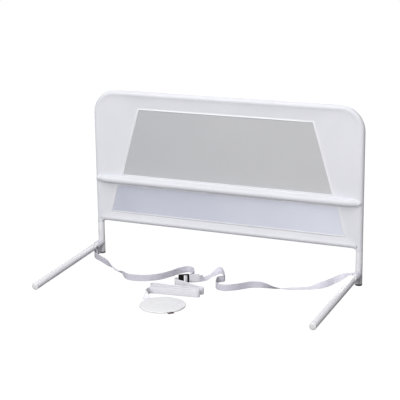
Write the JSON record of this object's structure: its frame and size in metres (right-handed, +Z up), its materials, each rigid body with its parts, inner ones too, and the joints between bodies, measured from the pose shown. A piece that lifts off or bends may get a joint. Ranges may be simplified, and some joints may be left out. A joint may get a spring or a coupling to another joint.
{
  "type": "folding bed guard rail",
  "caption": "Folding guard rail for a child's bed: fabric panel with mesh windows on a bent tube frame, fold-up under-mattress arms, and a webbing strap with an anchor disc.",
  "frame": {"origin": "on the floor, under the middle of the rail's length and depth, measured without the loose webbing and what is on it", "axes": "+X along the rail, +Y from the arms' tips to the panel, away from the mattress, +Z up"},
  "size_m": [1.094, 0.5732, 0.6598],
  "materials": {
    "white_paint": "satin white powder coat",
    "white_cloth": "plain woven, matt",
    "upper_net": "fine mesh",
    "lower_net": "fine mesh",
    "webbing": "flat woven webbing",
    "white_plastic": "moulded, matt",
    "grey_plastic": "moulded, matt",
    "black_plastic": "moulded, semi-matt",
    "zinc_steel": "zinc plated",
    "red_cloth": "plain woven, matt"
  },
  "bodies": {
    "rail": {"frame_tube": "white_paint", "frame_sleeve": "white_cloth", "fabric_panel": "white_cloth", "upper_mesh": "upper_net", "lower_mesh": "lower_net", "mid_bar": "white_paint", "mid_bar_sleeve": "white_cloth", "mid_bar_screw_left": "zinc_steel", "mid_bar_screw_right": "zinc_steel", "bottom_bar": "white_paint", "bottom_bar_sleeve": "white_cloth", "bottom_bar_plug_left": "grey_plastic", "bottom_bar_plug_right": "grey_plastic", "bottom_bar_screw_left": "zinc_steel", "bottom_bar_screw_right": "zinc_steel", "lower_post_left": "white_paint", "lower_post_right": "white_paint", "foot_cap_left": "grey_plastic", "foot_cap_right": "grey_plastic", "post_screw_left": "zinc_steel", "post_screw_right": "zinc_steel", "arm_stub_left": "white_paint", "arm_stub_right": "white_paint", "hinge_fork_left": "white_plastic", "hinge_fork_right": "white_plastic", "hinge_pin_left": "zinc_steel", "hinge_pin_right": "zinc_steel", "strap_loop_left": "webbing", "strap_loop_right": "webbing", "main_strap": "webbing", "strap_tab": "webbing", "strap_buckle": "black_plastic", "tail_strap_lead": "webbing", "tail_strap_hank": "webbing", "tail_strap_run": "webbing", "anchor_disc": "white_plastic", "anchor_tag": "red_cloth"},
    "left_arm": {"arm_knuckle_left": "white_plastic", "arm_tube_left": "white_paint", "arm_cap_left": "white_plastic"},
    "right_arm": {"arm_knuckle_right": "white_plastic", "arm_tube_right": "white_paint", "arm_cap_right": "white_plastic"}
  },
  "joints": [
    {"name": "left_arm_fold", "type": "hinge", "parent": "rail", "child": "left_arm", "pos_m": [-0.5325, 0.18302, 0.04105], "axis": [-1, 0, 0], "range_deg": [0, 98]},
    {"name": "right_arm_fold", "type": "hinge", "parent": "rail", "child": "right_arm", "pos_m": [0.5325, 0.18302, 0.04105], "axis": [-1, 0, 0], "range_deg": [0, 98]}
  ]
}
